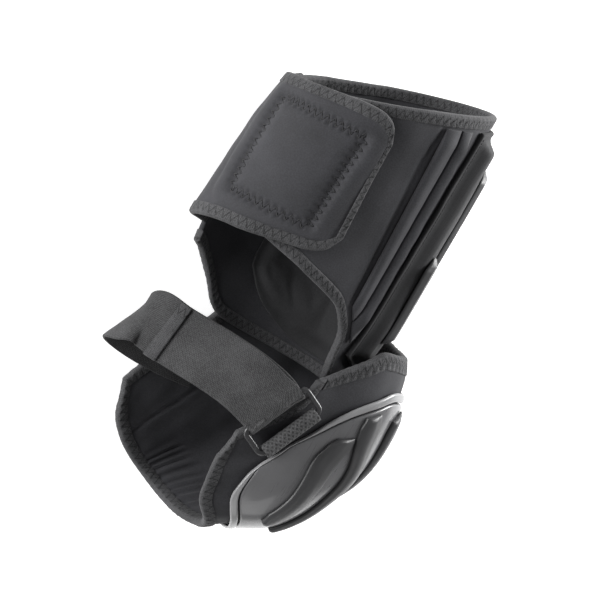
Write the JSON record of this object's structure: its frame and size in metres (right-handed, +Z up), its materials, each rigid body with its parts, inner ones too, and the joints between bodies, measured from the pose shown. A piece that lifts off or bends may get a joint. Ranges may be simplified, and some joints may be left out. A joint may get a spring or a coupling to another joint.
{
  "type": "batter's elbow guard",
  "caption": "Neoprene cuff round the upper arm with a closing flap, joined to a cup with a ribbed hard shell over the elbow and a strap round the forearm.",
  "frame": {"origin": "middle of the footprint on the resting plane", "axes": "+Y along the upper arm towards the shoulder, +X towards the back of the arm, +Z up, from the side it lies on to the side that is up"},
  "size_m": [0.1858, 0.3086, 0.113],
  "materials": {
    "neoprene": "charcoal knitted neoprene, matt",
    "lining": "near-black brushed lining, matt",
    "binding_tape": "dark stitched tape, matt",
    "foam_skin": "moulded foam under charcoal cloth, matt",
    "elastic": "dark grey woven elastic, matt",
    "shell_plastic": "grey moulded shell, glossy",
    "rim_plastic": "light grey moulded rim strip, satin",
    "rib_rubber": "dark moulded ribs, matt",
    "ring_plastic": "dark moulded ring, satin"
  },
  "bodies": {
    "root": {"cuff_sleeve": "neoprene", "cuff_top_binding": "binding_tape", "cuff_lower_binding": "binding_tape", "closure_flap": "neoprene", "flap_binding": "binding_tape", "hook_fastener": "lining", "back_pad": "foam_skin", "pad_rib_spine_near": "rib_rubber", "pad_rib_spine_far": "rib_rubber", "pad_rib_side_near": "rib_rubber", "pad_rib_side_far": "rib_rubber", "side_roll_front": "neoprene", "side_roll_rear": "neoprene", "inner_pad": "lining", "elbow_cup": "neoprene", "collar_binding": "binding_tape", "cup_rim_binding": "binding_tape", "hard_shell": "shell_plastic", "shell_rim": "rim_plastic", "shell_rib_outer_near": "rib_rubber", "shell_rib_middle_near": "rib_rubber", "shell_rib_inner_near": "rib_rubber", "shell_rib_outer_far": "rib_rubber", "shell_rib_middle_far": "rib_rubber", "shell_rib_inner_far": "rib_rubber", "slot_ring": "ring_plastic", "anchor_webbing": "elastic", "strap": "elastic", "strap_end_tab": "binding_tape"}
  },
  "joints": []
}
